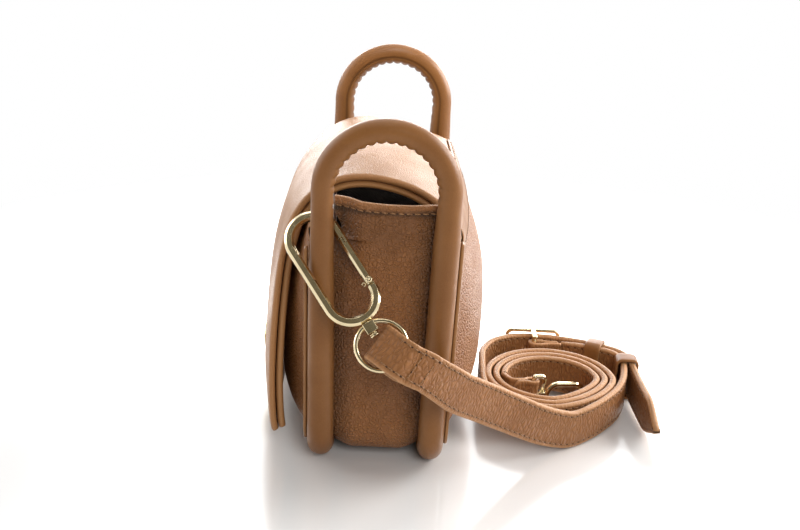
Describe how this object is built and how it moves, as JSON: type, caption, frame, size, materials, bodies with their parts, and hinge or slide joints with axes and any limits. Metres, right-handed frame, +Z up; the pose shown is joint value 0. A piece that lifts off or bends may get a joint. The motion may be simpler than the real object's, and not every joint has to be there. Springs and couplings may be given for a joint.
{
  "type": "flap bag",
  "caption": "Small leather flap bag with arched roll handles at both ends, a turned-over flap and a clip-on strap coiled beside it.",
  "frame": {"origin": "on the floor under the middle of the bag's body, on the flat underside of the gusset", "axes": "+X along the bag towards the end with the clip, -Y the flap's side, +Y the back with the coiled strap, +Z up"},
  "size_m": [0.2265, 0.2078, 0.1725],
  "materials": {
    "smooth_leather": "smooth",
    "grained_leather": "grained",
    "lining_fabric": "woven",
    "pale_gold": "polished",
    "filler": "cord",
    "board": "matte"
  },
  "bodies": {
    "bag": {"gusset": "grained_leather", "front_panel": "grained_leather", "back_panel": "grained_leather", "front_trim": "smooth_leather", "back_trim": "smooth_leather", "front_roll": "smooth_leather", "back_roll": "smooth_leather", "near_handle": "smooth_leather", "far_handle": "smooth_leather", "near_handle_core": "filler", "far_handle_core": "filler", "front_roll_core": "filler", "back_roll_core": "filler", "base_board": "board", "inner_pocket": "lining_fabric", "panel_snap": "pale_gold", "short_strap": "grained_leather", "long_strap": "grained_leather", "inner_keeper": "grained_leather", "outer_keeper": "grained_leather", "buckle_frame": "pale_gold", "swivel_ring": "pale_gold", "rear_loop": "pale_gold"},
    "flap_leaf": {"flap": "grained_leather", "flap_lining": "smooth_leather", "clasp_plate": "pale_gold", "clasp_stud": "pale_gold", "flap_snap": "pale_gold"},
    "front_hook": {"front_clip": "pale_gold", "front_rivet": "pale_gold", "front_washer": "pale_gold", "front_gate_spring": "pale_gold"},
    "front_gate_bar": {"front_gate": "pale_gold"},
    "rear_hook": {"rear_clip": "pale_gold", "rear_rivet": "pale_gold", "rear_washer": "pale_gold", "rear_gate_spring": "pale_gold"},
    "rear_gate_bar": {"rear_gate": "pale_gold"},
    "tongue": {"buckle_tongue": "pale_gold"}
  },
  "joints": [
    {"name": "flap_hinge", "type": "hinge", "parent": "bag", "child": "flap_leaf", "pos_m": [0, 0.04, 0.11415], "axis": [-1, 0, 0], "range_deg": [0, 110]},
    {"name": "front_swivel", "type": "hinge", "parent": "bag", "child": "front_hook", "pos_m": [0.0968, -0.0228, 0.1034], "axis": [0.4815, 0.5736, -0.6627], "range_deg": [-12, 2.5]},
    {"name": "front_gate_hinge", "type": "hinge", "parent": "front_hook", "child": "front_gate_bar", "pos_m": [0.09946, -0.00608, 0.09974], "axis": [0.809, 0, 0.5878], "range_deg": [0, 6], "stiffness_Nm_per_rad": 0.01, "springref_deg": -5.73},
    {"name": "rear_swivel", "type": "hinge", "parent": "bag", "child": "rear_hook", "pos_m": [0.02275, 0.09952, 0.01025], "axis": [-0.3414, 0.934, -0.1054], "continuous": true},
    {"name": "rear_gate_hinge", "type": "hinge", "parent": "rear_hook", "child": "rear_gate_bar", "pos_m": [0.02408, 0.09587, 0.00483], "axis": [0.9392, 0.3434, 0], "range_deg": [0, 25], "stiffness_Nm_per_rad": 0.004, "springref_deg": -5.73},
    {"name": "tongue_hinge", "type": "hinge", "parent": "bag", "child": "tongue", "pos_m": [-0.0185, 0.0862, 0.01309], "axis": [0, 0, -1], "range_deg": [0, 16]}
  ]
}
